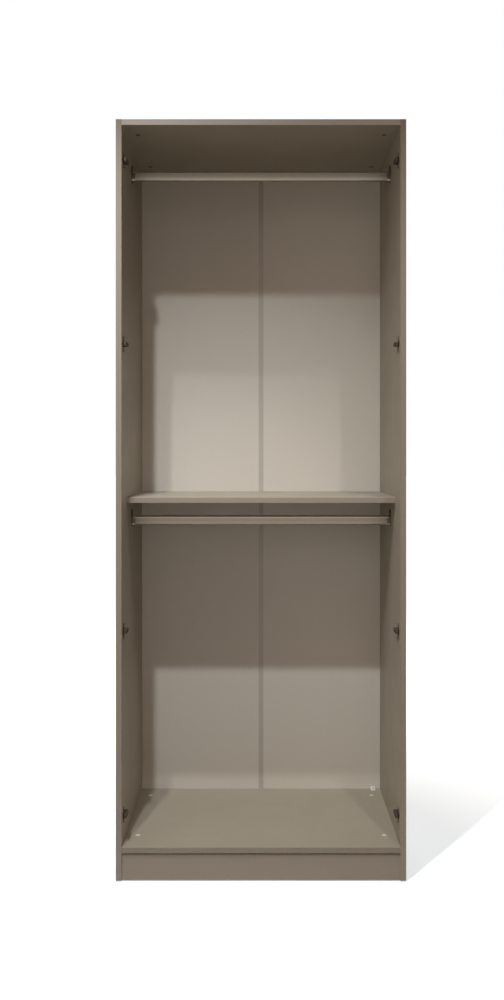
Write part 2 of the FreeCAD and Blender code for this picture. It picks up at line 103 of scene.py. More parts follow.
def mixed(tree, factor, first, second):
    """A colour between two colours."""
    made = add(tree, "ShaderNodeMix", {"Factor": factor}, data_type="RGBA")
    colours = [socket for socket in made.inputs if socket.type == "RGBA"]
    for socket, value in zip(colours, (first, second)):
        if isinstance(value, bpy.types.NodeSocket):
            tree.links.new(value, socket)
        else:
            socket.default_value = value
    return next(socket for socket in made.outputs if socket.type == "RGBA")


def ramp(tree, factor, stops):
    """A colour that runs through stops, pairs of place and colour from 0 to 1."""
    made = add(tree, "ShaderNodeValToRGB", {"Fac": factor})
    for place, _ in stops[1:-1]:
        made.color_ramp.elements.new(place)
    for element, (_, colour) in zip(made.color_ramp.elements, stops):
        element.color = colour
    return made.outputs["Color"]


def srgb(red, green, blue):
    """A colour given as the eye reads it, 0 to 255, in the linear form that shaders take."""
    channels = [value / 255 for value in (red, green, blue)]
    linear = [c / 12.92 if c <= 0.04045 else ((c + 0.055) / 1.055) ** 2.4 for c in channels]
    return (*linear, 1.0)


def place_in(tree, stretch=(1, 1, 1)):
    """A piece's own coordinates in metres, stretched."""
    where = add(tree, "ShaderNodeTexCoord").outputs["Object"]
    return add(tree, "ShaderNodeMapping", {"Vector": where, "Scale": stretch}).outputs["Vector"]


def noise(tree, where, size, detail=2.0, roughness=0.5):
    """Soft noise whose lumps are about this size in metres."""
    inputs = {"Vector": where, "Scale": 1.0 / size, "Detail": detail, "Roughness": roughness}
    return add(tree, "ShaderNodeTexNoise", inputs).outputs["Fac"]


def new_group(name, inputs, outputs):
    """An empty shader node group with named sockets: its tree, its inputs and its output node."""
    tree = bpy.data.node_groups.new(name, "ShaderNodeTree")
    for label, default in inputs.items():
        kind = "NodeSocketColor" if isinstance(default, tuple) else "NodeSocketFloat"
        tree.interface.new_socket(label, in_out="INPUT", socket_type=kind).default_value = default
    for label, kind in outputs.items():
        tree.interface.new_socket(label, in_out="OUTPUT", socket_type=kind)
    enter = tree.nodes.new("NodeGroupInput")
    leave = tree.nodes.new("NodeGroupOutput")
    return tree, enter.outputs, leave.inputs


def use(tree, group, **inputs):
    """Places a node group in a material; an input's underscores stand for spaces."""
    made = add(tree, "ShaderNodeGroup", node_tree=group)
    for name, value in inputs.items():
        socket = made.inputs[name.replace("_", " ")]
        if isinstance(value, bpy.types.NodeSocket):
            tree.links.new(value, socket)
        else:
            socket.default_value = value
    return made.outputs


def cloudy_tone_group():
    """Slow drift of a colour over a surface, as light and dark shades of it."""
    inputs = {"Colour": (0.5, 0.5, 0.5, 1.0), "Size": 0.4, "Strength": 0.05}
    tree, given, result = new_group("cloudy_tone", inputs, {"Colour": "NodeSocketColor"})
    where = add(tree, "ShaderNodeTexCoord").outputs["Object"]
    rate = maths(tree, "DIVIDE", 1.0, given["Size"])
    drift = add(tree, "ShaderNodeTexNoise", {"Vector": where, "Scale": rate, "Detail": 3.0}).outputs["Fac"]
    swing = maths(tree, "MULTIPLY", maths(tree, "SUBTRACT", drift, 0.5), given["Strength"])
    value = maths(tree, "ADD", maths(tree, "MULTIPLY", swing, 2.0), 1.0)
    shade = add(tree, "ShaderNodeHueSaturation", {"Color": given["Colour"], "Value": value})
    tree.links.new(shade.outputs["Color"], result["Colour"])
    return tree


def pearl_emboss_group():
    """The fine pebbled press texture of a melamine or moulded surface."""
    tree, given, result = new_group("pearl_emboss", {"Size": 0.0009}, {"Height": "NodeSocketFloat"})
    where = add(tree, "ShaderNodeTexCoord").outputs["Object"]
    rate = maths(tree, "DIVIDE", 1.0, given["Size"])
    pebbles = add(tree, "ShaderNodeTexVoronoi", {"Vector": where, "Scale": rate}, feature="SMOOTH_F1")
    coarse = maths(tree, "DIVIDE", rate, 4.0)
    swell = add(tree, "ShaderNodeTexNoise", {"Vector": where, "Scale": coarse}).outputs["Fac"]
    height = maths(tree, "ADD", pebbles.outputs["Distance"], maths(tree, "MULTIPLY", swell, 0.6))
    tree.links.new(height, result["Height"])
    return tree


def facing_group():
    """Masks of the faces that look backwards, down, up and sideways."""
    names = ("Rear", "Under", "Top", "Ends")
    tree, _, result = new_group("facing", {}, {name: "NodeSocketFloat" for name in names})
    normal = add(tree, "ShaderNodeNewGeometry").outputs["True Normal"]
    parts = add(tree, "ShaderNodeSeparateXYZ", {0: normal}).outputs
    across = maths(tree, "ABSOLUTE", parts["X"])
    under = maths(tree, "MULTIPLY", parts["Z"], -1.0)
    for name, value in zip(names, (parts["Y"], under, parts["Z"], across)):
        tree.links.new(maths(tree, "GREATER_THAN", value, 0.7), result[name])
    return tree


def settled_dust_group():
    """A mask of thin dust on level faces, thicker in drifts."""
    tree, given, result = new_group("settled_dust", {"Amount": 0.2}, {"Mask": "NodeSocketFloat"})
    normal = add(tree, "ShaderNodeNewGeometry").outputs["True Normal"]
    up = spread(tree, add(tree, "ShaderNodeSeparateXYZ", {0: normal}).outputs["Z"], 0.5, 1.0)
    where = place_in(tree)
    drifts = spread(tree, noise(tree, where, 0.12, detail=6.0, roughness=0.65), 0.4, 0.75)
    grains = spread(tree, noise(tree, where, 0.0012, detail=2.0), 0.45, 0.7)
    layer = maths(tree, "MULTIPLY", up, maths(tree, "MULTIPLY", drifts, grains))
    tree.links.new(maths(tree, "MULTIPLY", layer, given["Amount"]), result["Mask"])
    return tree


def chipboard_group():
    """The pressed flakes of a raw chipboard edge."""
    tree, _, result = new_group("chipboard", {}, {"Colour": "NodeSocketColor", "Height": "NodeSocketFloat"})
    where = place_in(tree, (1, 1, 1.6))
    stray = add(tree, "ShaderNodeTexNoise", {"Vector": where, "Scale": 300.0}).outputs["Color"]
    bend = vector_maths(tree, "MULTIPLY", stray, (0.002, 0.002, 0.002))
    bent = vector_maths(tree, "ADD", where, bend)
    flakes = add(tree, "ShaderNodeTexVoronoi", {"Vector": bent, "Scale": 420.0})
    tone = add(tree, "ShaderNodeSeparateColor", {0: flakes.outputs["Color"]}).outputs["Red"]
    wood = mixed(tree, tone, srgb(150, 118, 82), srgb(205, 176, 134))
    dark = spread(tree, noise(tree, where, 0.003, detail=3.0), 0.55, 0.7)
    stain = maths(tree, "MULTIPLY", dark, 0.5)
    tree.links.new(mixed(tree, stain, wood, srgb(104, 78, 52)), result["Colour"])
    tree.links.new(maths(tree, "ADD", flakes.outputs["Distance"], tone), result["Height"])
    return tree


def drawn_lines_group():
    """Fine lines left along X by drawing or brushing a metal, with a mask of their shine."""
    outputs = {"Height": "NodeSocketFloat", "Shine": "NodeSocketFloat"}
    tree, given, result = new_group("drawn_lines", {"Length": 0.12, "Width": 0.0003}, outputs)
    where = add(tree, "ShaderNodeTexCoord").outputs["Object"]
    along = maths(tree, "DIVIDE", 1.0, given["Length"])
    across = maths(tree, "DIVIDE", 1.0, given["Width"])
    rates = add(tree, "ShaderNodeCombineXYZ", {"X": along, "Y": across, "Z": across}).outputs[0]
    drawn = vector_maths(tree, "MULTIPLY", where, rates)
    lines = add(tree, "ShaderNodeTexNoise", {"Vector": drawn, "Scale": 1.0, "Detail": 3.0}).outputs["Fac"]
    tree.links.new(lines, result["Height"])
    tree.links.new(spread(tree, lines, 0.3, 0.7), result["Shine"])
    return tree


CLOUDY_TONE = cloudy_tone_group()
PEARL_EMBOSS = pearl_emboss_group()
FACING = facing_group()
SETTLED_DUST = settled_dust_group()
CHIPBOARD = chipboard_group()
DRAWN_LINES = drawn_lines_group()


# Finishes

def new_finish(name, **constants):
    """A material with one shader; constants are set on the shader's own sockets."""
    finish = bpy.data.materials.new(name)
    finish.use_nodes = True
    shader = finish.node_tree.nodes["Principled BSDF"]
    for label, value in constants.items():
        shader.inputs[label.replace("_", " ")].default_value = value
    return finish, finish.node_tree, shader.inputs


def bump(tree, height):
    """A surface normal from a height in metres."""
    inputs = {"Height": height, "Distance": 1.0, "Strength": 1.0}
    return add(tree, "ShaderNodeBump", inputs).outputs["Normal"]


def drifting(tree, colour, size, strength):
    """A colour that drifts lighter and darker in patches of about this size in metres."""
    return use(tree, CLOUDY_TONE, Colour=colour, Size=size, Strength=strength)["Colour"]


TAUPE = srgb(153, 144, 128)
# The plinth takes the board taupe darkened as painted shade.
PLINTH_SHADED_TAUPE = srgb(138, 127, 111)
DUST = srgb(196, 190, 180)


def board_finish(name, raw_faces, colour=TAUPE):
    """Taupe melamine on the faces of a board, and bare chipboard on its cut edges."""
    finish, tree, shader = new_finish(name, Specular_IOR_Level=0.35)
    facing = use(tree, FACING)
    raw = any_of(tree, [facing[face] for face in raw_faces])
    tone = drifting(tree, colour, 0.55, 0.022)
    speckle = drifting(tree, tone, 0.0025, 0.03)
    dust = use(tree, SETTLED_DUST, Amount=0.22)["Mask"]
    faced = mixed(tree, dust, speckle, DUST)
    chips = use(tree, CHIPBOARD)
    tree.links.new(mixed(tree, raw, faced, chips["Colour"]), shader["Base Color"])
    smear = spread(tree, noise(tree, place_in(tree), 0.16, detail=5.0), 0.3, 0.7, 0.46, 0.58)
    matt = maths(tree, "MAXIMUM", smear, maths(tree, "MULTIPLY", raw, 0.9))
    tree.links.new(maths(tree, "MAXIMUM", matt, maths(tree, "MULTIPLY", dust, 3.0)), shader["Roughness"])
    pearl = maths(tree, "MULTIPLY", use(tree, PEARL_EMBOSS, Size=0.0009)["Height"], 0.00004)
    rough = maths(tree, "MULTIPLY", chips["Height"], 0.0005)
    height = add(tree, "ShaderNodeMix", {"Factor": raw, "A": pearl, "B": rough}).outputs["Result"]
    tree.links.new(bump(tree, height), shader["Normal"])
    return finish


def band_finish(name, colour):
    """A plastic edge band, smoother than the boards."""
    finish, tree, shader = new_finish(name, Specular_IOR_Level=0.35)
    tone = drifting(tree, colour, 0.3, 0.03)
    tree.links.new(drifting(tree, tone, 0.004, 0.02), shader["Base Color"])
    rub = spread(tree, noise(tree, place_in(tree), 0.05, detail=4.0), 0.3, 0.7, 0.38, 0.5)
    tree.links.new(rub, shader["Roughness"])
    pearl = maths(tree, "MULTIPLY", use(tree, PEARL_EMBOSS, Size=0.0007)["Height"], 0.00002)
    tree.links.new(bump(tree, pearl), shader["Normal"])
    return finish


def back_finish():
    """Pale paint on the face of a thin hardboard, bare brown fibre with a screen pattern behind."""
    finish, tree, shader = new_finish("back_hardboard", Specular_IOR_Level=0.35)
    facing = use(tree, FACING)
    bare = any_of(tree, [facing[face] for face in ("Rear", "Ends", "Top", "Under")])
    pale = drifting(tree, srgb(205, 199, 188), 0.5, 0.025)
    pale = drifting(tree, pale, 0.006, 0.015)
    where = place_in(tree)
    fibres = noise(tree, place_in(tree, (1, 1, 0.25)), 0.0016, detail=5.0, roughness=0.7)
    brown = mixed(tree, spread(tree, fibres, 0.3, 0.7), srgb(104, 76, 52), srgb(148, 114, 80))
    patches = spread(tree, noise(tree, where, 0.2, detail=4.0), 0.35, 0.7, 0.0, 0.4)
    brown = mixed(tree, patches, brown, srgb(126, 98, 70))
    tree.links.new(mixed(tree, bare, pale, brown), shader["Base Color"])
    tree.links.new(spread(tree, bare, 0.0, 1.0, 0.42, 0.85), shader["Roughness"])
    wires = {"Vector": where, "Scale": 180.0}
    weave = add(tree, "ShaderNodeTexWave", wires, bands_direction="X").outputs["Fac"]
    weft = add(tree, "ShaderNodeTexWave", wires, bands_direction="Z").outputs["Fac"]
    screen = maths(tree, "ADD", maths(tree, "MULTIPLY", weave, weft), fibres)
    rough = maths(tree, "MULTIPLY", screen, 0.0003)
    sag = maths(tree, "MULTIPLY", noise(tree, where, 0.35, detail=1.0), 0.004)
    peel = maths(tree, "MULTIPLY", use(tree, PEARL_EMBOSS, Size=0.0016)["Height"], 0.00003)
    smooth = maths(tree, "ADD", sag, peel)
    height = add(tree, "ShaderNodeMix", {"Factor": bare, "A": smooth, "B": rough}).outputs["Result"]
    tree.links.new(bump(tree, height), shader["Normal"])
    return finish


def plastic_finish(name, colour, roughness, strength=0.04):
    """Moulded plastic with a faint skin texture."""
    finish, tree, shader = new_finish(name)
    tone = drifting(tree, colour, 0.03, strength)
    dust = use(tree, SETTLED_DUST, Amount=0.25)["Mask"]
    tree.links.new(mixed(tree, dust, tone, DUST), shader["Base Color"])
    patches = noise(tree, place_in(tree), 0.01, detail=4.0)
    rub = spread(tree, patches, 0.3, 0.7, roughness - 0.06, roughness + 0.06)
    tree.links.new(rub, shader["Roughness"])
    pearl = maths(tree, "MULTIPLY", use(tree, PEARL_EMBOSS, Size=0.0006)["Height"], 0.00002)
    tree.links.new(bump(tree, pearl), shader["Normal"])
    return finish


# Sizes that both the metal finishes and the pieces themselves follow
SOCKET_FOOT = 19 * MM
SOCKET_EAR = 33 * MM
RAIL_HALF_HEIGHT = size_of("upper_rail").z / 2
WING_HEIGHT = 44 * MM
HINGE_STAND_OFF = size_of("hinge_plate_left_1").x


def rail_finish(dull, bright, painted_top_highlight, roughness):
    """A satin tube along X, finely lined and faintly marked, its colour banded by height: a painted
    reflection brightens its lower round and a painted highlight its top.
    """
    finish, tree, shader = new_finish("satin_rail", Metallic=0.75)
    lines = use(tree, DRAWN_LINES, Length=0.12, Width=0.0003)
    rise = add(tree, "ShaderNodeSeparateXYZ", {0: place_in(tree)}).outputs["Z"]
    share = spread(tree, rise, -RAIL_HALF_HEIGHT, RAIL_HALF_HEIGHT)
    # Painted light by height: bright is a painted reflection along the lower round, dull the middle tone,
    # and the top colour a painted highlight.
    stops = [(0, bright), (0.22, bright), (0.44, dull), (0.7, dull), (0.93, painted_top_highlight), (1, painted_top_highlight)]
    banded_painted_sheen = ramp(tree, share, stops)
    tree.links.new(drifting(tree, banded_painted_sheen, 0.05, 0.03), shader["Base Color"])
    marks = spread(tree, noise(tree, place_in(tree), 0.03, detail=5.0), 0.35, 0.7, 0.0, 0.03)
    grain = spread(tree, lines["Shine"], 0.0, 1.0, roughness - 0.05, roughness + 0.05)
    tree.links.new(maths(tree, "ADD", grain, marks), shader["Roughness"])
    height = maths(tree, "MULTIPLY", lines["Height"], 0.000004)
    tree.links.new(bump(tree, height), shader["Normal"])
    return finish


def casting_skin(tree, shader, roughness):
    """Patchy shine and a faint grain, as on a plated or bare die casting; gives back the patches."""
    patches = spread(tree, noise(tree, place_in(tree), 0.004, detail=5.0, roughness=0.6), 0.35, 0.65)
    tree.links.new(spread(tree, patches, 0.0, 1.0, roughness - 0.06, roughness + 0.08), shader["Roughness"])
    grain = maths(tree, "MULTIPLY", use(tree, PEARL_EMBOSS, Size=0.0004)["Height"], 0.00001)
    tree.links.new(bump(tree, grain), shader["Normal"])
    return patches


def cast_metal_finish(name, bright, dull, roughness, metallic=1.0):
    """A casting in two shades of metal."""
    finish, tree, shader = new_finish(name, Metallic=metallic)
    patches = casting_skin(tree, shader, roughness)
    tree.links.new(mixed(tree, patches, bright, dull), shader["Base Color"])
    return finish


def socket_finish(plate, shade, lip_highlight):
    """A dark bronze casting, dark partly in its own metal and partly as painted shade on its cup and ear,
    with a painted highlight along the bottom of its cup, under the rail.
    """
    finish, tree, shader = new_finish("socket_bronze", Metallic=0.8)
    casting_skin(tree, shader, 0.42)
    rise = add(tree, "ShaderNodeSeparateXYZ", {0: place_in(tree)}).outputs["Y"]
    share = spread(tree, rise, -SOCKET_FOOT, SOCKET_EAR)
    # Painted light along the casting's height: the lip colour is a painted highlight on the cup's bottom;
    # the shade and plate colours darken the cup and ear partly as painted shade.
    stops = [
        (0, shade), (0.05, shade), (0.1, lip_highlight), (0.16, lip_highlight),
        (0.2, shade), (0.46, shade), (0.56, plate), (1, plate),
    ]
    painted_light_and_shade = ramp(tree, share, stops)
    tree.links.new(drifting(tree, painted_light_and_shade, 0.004, 0.2), shader["Base Color"])
    return finish


def hinge_finish(wing, saddle, painted_root_shade):
    """A plated casting whose saddle is painted darker to dim the light on its face, with painted shade
    darkest in its root, where it meets the wall.
    """
    finish, tree, shader = new_finish("hinge_bronze", Metallic=0.3, Specular_IOR_Level=0.2)
    casting_skin(tree, shader, 0.6)
    place = add(tree, "ShaderNodeSeparateXYZ", {0: place_in(tree)}).outputs
    off_wall = maths(tree, "DIVIDE", place["Z"], HINGE_STAND_OFF)
    along_wing = maths(tree, "DIVIDE", maths(tree, "ABSOLUTE", place["Y"]), WING_HEIGHT)
    # Painted shade: the saddle colour darkens the saddle's lit face, and the root colour darkens the corner
    # where the plate meets the wall.
    wing_and_shaded_saddle = mixed(tree, spread(tree, off_wall, 0.25, 0.45), wing, saddle)
    low = spread(tree, off_wall, 0.2, 0.4, 1.0, 0.0)
    middle = spread(tree, along_wing, 0.12, 0.3, 1.0, 0.0)
    tone = mixed(tree, maths(tree, "MULTIPLY", low, middle), wing_and_shaded_saddle, painted_root_shade)
    tree.links.new(drifting(tree, tone, 0.004, 0.15), shader["Base Color"])
    return finish


def beech_finish():
    """Bare turned beech with short flecks."""
    finish, tree, shader = new_finish("bare_beech", Roughness=0.7)
    flecks = noise(tree, place_in(tree, (0.1, 1, 1)), 0.0008, detail=4.0)
    grain = spread(tree, flecks, 0.35, 0.65)
    tree.links.new(mixed(tree, grain, srgb(182, 142, 98), srgb(208, 172, 128)), shader["Base Color"])
    tree.links.new(bump(tree, maths(tree, "MULTIPLY", flecks, 0.0001)), shader["Normal"])
    return finish


SIDE_BOARD = board_finish("side_melamine", ("Rear", "Under"))
LEVEL_BOARD = board_finish("level_melamine", ("Rear", "Ends"))
PLINTH_BOARD = board_finish("plinth_melamine", ("Under", "Top", "Ends"), PLINTH_SHADED_TAUPE)
# One edge band in four copies, each painted lighter or darker for the light and shade at its place: the top
# band lighter, the side, shelf and floor bands darker.
SIDE_BAND = band_finish("side_band_plastic", srgb(136, 127, 111))
TOP_BAND = band_finish("top_band_painted_light", srgb(167, 158, 148))
SHELF_BAND = band_finish("shelf_band_plastic", srgb(142, 133, 117))
FLOOR_BAND = band_finish("floor_band_painted_shade", srgb(129, 119, 103))
BACK_BOARD = back_finish()
JOINT_STRIP = plastic_finish("strip_plastic", srgb(178, 172, 160), 0.42)
# The rail, socket and hinge colours below carry painted highlights, reflections and shade, as their
# finishes set out.
RAIL_METAL = rail_finish(srgb(123, 114, 101), srgb(139, 129, 115), srgb(214, 202, 183), 0.3)
SOCKET_METAL = socket_finish(srgb(66, 56, 45), srgb(74, 64, 52), srgb(138, 126, 110))
HINGE_METAL = hinge_finish(srgb(104, 93, 79), srgb(80, 70, 58), srgb(30, 23, 16))
# The cams under the top and the shelf use a dark copy of the cam colour as painted shade; the floor cams
# keep the pale tone.
FLOOR_CAM = cast_metal_finish("floor_cam_zinc", srgb(232, 226, 214), srgb(206, 200, 189), 0.5, metallic=0.2)
SHADE_DARKENED_CAM = cast_metal_finish("shade_darkened_cam_zinc", srgb(76, 67, 56), srgb(52, 45, 37), 0.5)
BOLT_STEEL = cast_metal_finish("zinc_plate", srgb(178, 176, 170), srgb(138, 135, 128), 0.34)
SCREW_STEEL = cast_metal_finish("dark_screw", srgb(84, 76, 65), srgb(56, 49, 41), 0.4)
DOWEL_WOOD = beech_finish()
GLIDE_PLASTIC = plastic_finish("glide_plastic", srgb(58, 55, 51), 0.5)
CLIP_PLASTIC = plastic_finish("clip_plastic", srgb(222, 219, 210), 0.42, strength=0.02)

CAD_FINISHES = {
    "left_side": SIDE_BOARD, "right_side": SIDE_BOARD,
    "top_panel": LEVEL_BOARD, "bottom_panel": LEVEL_BOARD, "middle_shelf": LEVEL_BOARD,
    "plinth_front": PLINTH_BOARD, "plinth_rear": PLINTH_BOARD,
    "back_panel_left": BACK_BOARD, "back_panel_right": BACK_BOARD, "back_joint_strip": JOINT_STRIP,
    "plinth_dowels": DOWEL_WOOD, "floor_glides": GLIDE_PLASTIC, "back_clip": CLIP_PLASTIC,
    "left_side_band": SIDE_BAND, "right_side_band": SIDE_BAND,
    "top_panel_band": TOP_BAND, "middle_shelf_band": SHELF_BAND, "bottom_panel_band": FLOOR_BAND,
    "top_cams": SHADE_DARKENED_CAM, "shelf_cams": SHADE_DARKENED_CAM, "bottom_cams": FLOOR_CAM,
}
FINISH_BY_WORD = {"bolts": BOLT_STEEL, "socket": SOCKET_METAL, "hinge": HINGE_METAL, "rail": RAIL_METAL}


def finish_of(node):
    if node in CAD_FINISHES:
        return CAD_FINISHES[node]
    return next(finish for word, finish in FINISH_BY_WORD.items() if word in node.split("_"))


for node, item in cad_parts.items():
    item.data.materials.clear()
    item.data.materials.append(finish_of(node))


# Mesh work

def arc(centre, radius, first, last, steps):
    """Points along an arc between two angles in degrees."""
    turns = [math.radians(first + (last - first) * n / steps) for n in range(steps + 1)]
    return [(centre[0] + radius * math.cos(t), centre[1] + radius * math.sin(t)) for t in turns]


def upright_slot(low, high, width, steps=16):
    """An upright outline with round ends."""
    radius = width / 2
    return arc((0, high - radius), radius, 0, 180, steps) + arc((0, low + radius), radius, 180, 360, steps)


def upright_cup(low, high, width, steps=20):
    """An upright outline with a round bottom and a flat top."""
    radius = width / 2
    return [(radius, high), (-radius, high)] + arc((0, low + radius), radius, 180, 360, steps)


def rectangle(left, right, low, high):
    return [(left, low), (right, low), (right, high), (left, high)]


def skin(rings, closed=False):
    """Faces between rings of points; both ends are capped unless the last ring meets the first."""
    shape = bmesh.new()
    loops = [[shape.verts.new(point) for point in ring] for ring in rings]
    pairs = list(zip(loops, loops[1:]))
    if closed:
        pairs.append((loops[-1], loops[0]))
    else:
        shape.faces.new(loops[0])
        shape.faces.new(loops[-1])
    for one, other in pairs:
        for n, point in enumerate(one):
            shape.faces.new((one[n - 1], point, other[n], other[n - 1]))
    bmesh.ops.recalc_face_normals(shape, faces=shape.faces)
    mesh = bpy.data.meshes.new("form")
    shape.to_mesh(mesh)
    shape.free()
    mesh.polygons.foreach_set("use_smooth", [True] * len(mesh.polygons))
    return mesh


def prism(outline, low, high):
    """An outline in X and Y, drawn out along Z."""
    return skin([[(x, y, z) for x, y in outline] for z in (low, high)])


def turned(profile, steps=32, at=(0, 0)):
    """A round solid about an upright axis, from pairs of radius and height."""
    turns = [2 * math.pi * n / steps for n in range(steps)]
    rings = [[(at[0] + r * math.cos(t), at[1] + r * math.sin(t), z) for t in turns] for r, z in profile]
    return skin(rings)


def worked(mesh, joins=(), cuts=(), easing=0.0, segments=2):
    """A mesh joined with others, cut by others and eased along its edges."""
    host = bpy.data.objects.new("bench", mesh)
    bench = [host]
    for operation, others in (("UNION", joins), ("DIFFERENCE", cuts)):
        for other in others:
            tool = bpy.data.objects.new("bench_tool", other)
            bench.append(tool)
            step = host.modifiers.new(operation, "BOOLEAN")
            step.operation = operation
            step.object = tool
    if easing:
        round_over = host.modifiers.new("round_over", "BEVEL")
        round_over.width = easing
        round_over.segments = segments
        round_over.angle_limit = math.radians(40)
    for item in bench:
        bpy.context.collection.objects.link(item)
    ready = host.evaluated_get(bpy.context.evaluated_depsgraph_get())
    done = bpy.data.meshes.new_from_object(ready)
    for item in bench:
        bpy.data.objects.remove(item)
    done.polygons.foreach_set("use_smooth", [True] * len(done.polygons))
    done.set_sharp_from_angle(angle=math.radians(32))
    return done


def pose(place, x_axis=X_AXIS, z_axis=Z_AXIS):
    """The matrix that puts a form at a place, with its X and Z along these directions."""
    turn = Matrix((x_axis, z_axis.cross(x_axis), z_axis)).transposed()
    return Matrix.Translation(place) @ turn.to_4x4()


def copies(mesh, poses):
    """One mesh of a form repeated at several poses."""
    shape = bmesh.new()
    for each in poses:
        placed = mesh.copy()
        placed.transform(each)
        shape.from_mesh(placed)
        bpy.data.meshes.remove(placed)
    made = bpy.data.meshes.new("copies")
    shape.to_mesh(made)
    shape.free()
    return made


def piece(name, mesh, finish, at=Matrix(), body="carcass"):
    """A finished piece that moves with a body of the frame."""
    mesh.materials.clear()
    mesh.materials.append(finish)
    made = bpy.data.objects.new(name, mesh)
    bpy.context.collection.objects.link(made)
    made.matrix_world = at
    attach(made, body)
    return made


# Fasteners

SCREW_TIP_RADIUS = 0.2 * MM
SCREW_TIP_LENGTH = 2.5 * MM
SUNK_HEAD_RIM = 0.25 * MM
SUNK_RECESS_DEPTH = 1.3 * MM
NAIL_TIP_RADIUS = 0.1 * MM
NAIL_TIP_LENGTH = 2 * MM


def cross_recess(reach, width, depth):
    """The two cutters of a cross slot in a face at z = 0."""
    along = rectangle(-reach, reach, -width / 2, width / 2)
    across = rectangle(-width / 2, width / 2, -reach, reach)
    return [prism(outline, -depth, depth) for outline in (along, across)]


def sunk_screw(head_radius, shank_radius, length):
    """A countersunk screw whose head is level with z = 0."""
    cone = head_radius - shank_radius
    profile = [
        (SCREW_TIP_RADIUS, -length), (shank_radius, -length + SCREW_TIP_LENGTH),
        (shank_radius, -SUNK_HEAD_RIM - cone), (head_radius, -SUNK_HEAD_RIM),
        (head_radius, -0.05 * MM), (head_radius * 0.7, 0.0),
    ]
    recess = cross_recess(head_radius * 0.62, head_radius * 0.26, SUNK_RECESS_DEPTH)
    return worked(turned(profile), cuts=recess)


def round_head_screw(head_radius, head_height, shank_radius, length):
    """A screw with a low domed head that stands on z = 0."""
    dome = [(head_radius * math.cos(t), head_height * math.sin(t)) for t in (0.0, 0.35, 0.7, 1.0, 1.25)]
    shank = [
        (SCREW_TIP_RADIUS, -length), (shank_radius, -length + SCREW_TIP_LENGTH), (shank_radius, 0.0),
    ]
    recess = cross_recess(head_radius * 0.5, head_radius * 0.24, head_height * 1.2)
    for cutter in recess:
        cutter.transform(Matrix.Translation((0, 0, head_height)))
    return worked(turned(shank + dome), cuts=recess)


def flat_nail(head_radius, head_height, shank_radius, length):
    """A flat-headed nail driven down to z = 0."""
    return worked(turned([
        (NAIL_TIP_RADIUS, -length), (shank_radius, -length + NAIL_TIP_LENGTH), (shank_radius, 0.0),
        (head_radius, 0.0), (head_radius, head_height * 0.6), (head_radius * 0.86, head_height),
    ], steps=20))


# Hinge plates and their screws

WING_WIDTH = 12 * MM
WING_THICKNESS = 2.5 * MM
WING_SCREW_SPACING = 32 * MM
WING_HOLE_RADIUS = 2.75 * MM
WING_SEAT_RADIUS = 4.6 * MM
WING_SEAT_LAND = 0.6 * MM
SADDLE_FRONT = 10 * MM
SADDLE_TAIL_START = 20 * MM
SADDLE_REAR = 34 * MM
SADDLE_WIDTH = 12 * MM
SADDLE_TAIL_WIDTH = 9 * MM
GROOVE_LENGTH = 14 * MM
GROOVE_WIDTH = 6.4 * MM
GROOVE_DEPTH = 2 * MM
ARM_HOLE_SETBACK = 16 * MM
ARM_HOLE_RADIUS = 2.6 * MM
ARM_SEAT_FLARE = 1.8 * MM
ARM_SEAT_DEPTH = 0.8 * MM
RIDGES = 6
RIDGE_START = SADDLE_TAIL_START + 2 * MM
RIDGE_PITCH = 1.8 * MM
RIDGE_CUT = 0.8 * MM
RIDGE_DEPTH = 0.5 * MM
CUT_OVER = 1 * MM
HINGE_COUNT = 4
HINGE_SCREW = {"head_radius": 4.3 * MM, "shank_radius": 2.1 * MM, "length": 12 * MM}


def hinge_plate_form(top):
    """A cross-shaped plate: X runs to the rear along the saddle, Y up along the wings, Z off the wall."""
    half = SADDLE_WIDTH / 2
    tail = SADDLE_TAIL_WIDTH / 2
    saddle = worked(prism([
        (-SADDLE_FRONT, -half), (SADDLE_TAIL_START, -half), (SADDLE_REAR, -tail),
        (SADDLE_REAR, tail), (SADDLE_TAIL_START, half), (-SADDLE_FRONT, half),
    ], 0.0, top), easing=1.2 * MM, segments=3)
    above = top + CUT_OVER
    groove_front = -SADDLE_FRONT - CUT_OVER
    groove_rear = GROOVE_LENGTH - SADDLE_FRONT
    groove = rectangle(groove_front, groove_rear, -GROOVE_WIDTH / 2, GROOVE_WIDTH / 2)
    cuts = [prism(groove, top - GROOVE_DEPTH, above)]
    arm_hole = [
        (ARM_HOLE_RADIUS, -CUT_OVER), (ARM_HOLE_RADIUS, top - ARM_SEAT_DEPTH),
        (ARM_HOLE_RADIUS + ARM_SEAT_FLARE, above),
    ]
    cuts.append(turned(arm_hole, at=(ARM_HOLE_SETBACK, 0)))
    for n in range(RIDGES):
        start = RIDGE_START + n * RIDGE_PITCH
        notch = rectangle(start, start + RIDGE_CUT, -half, half)
        cuts.append(prism(notch, top - RIDGE_DEPTH, above))
    seat = [
        (WING_HOLE_RADIUS, -CUT_OVER), (WING_HOLE_RADIUS, WING_SEAT_LAND),
        (WING_SEAT_RADIUS, WING_THICKNESS), (WING_SEAT_RADIUS, top),
    ]
    for end in (-1, 1):
        cuts.append(turned(seat, at=(0, end * WING_SCREW_SPACING / 2)))
    outline = upright_slot(-WING_HEIGHT / 2, WING_HEIGHT / 2, WING_WIDTH)
    wings = worked(prism(outline, 0.0, WING_THICKNESS), easing=0.5 * MM)
    return worked(wings, joins=[saddle], cuts=cuts, easing=0.2 * MM, segments=1)


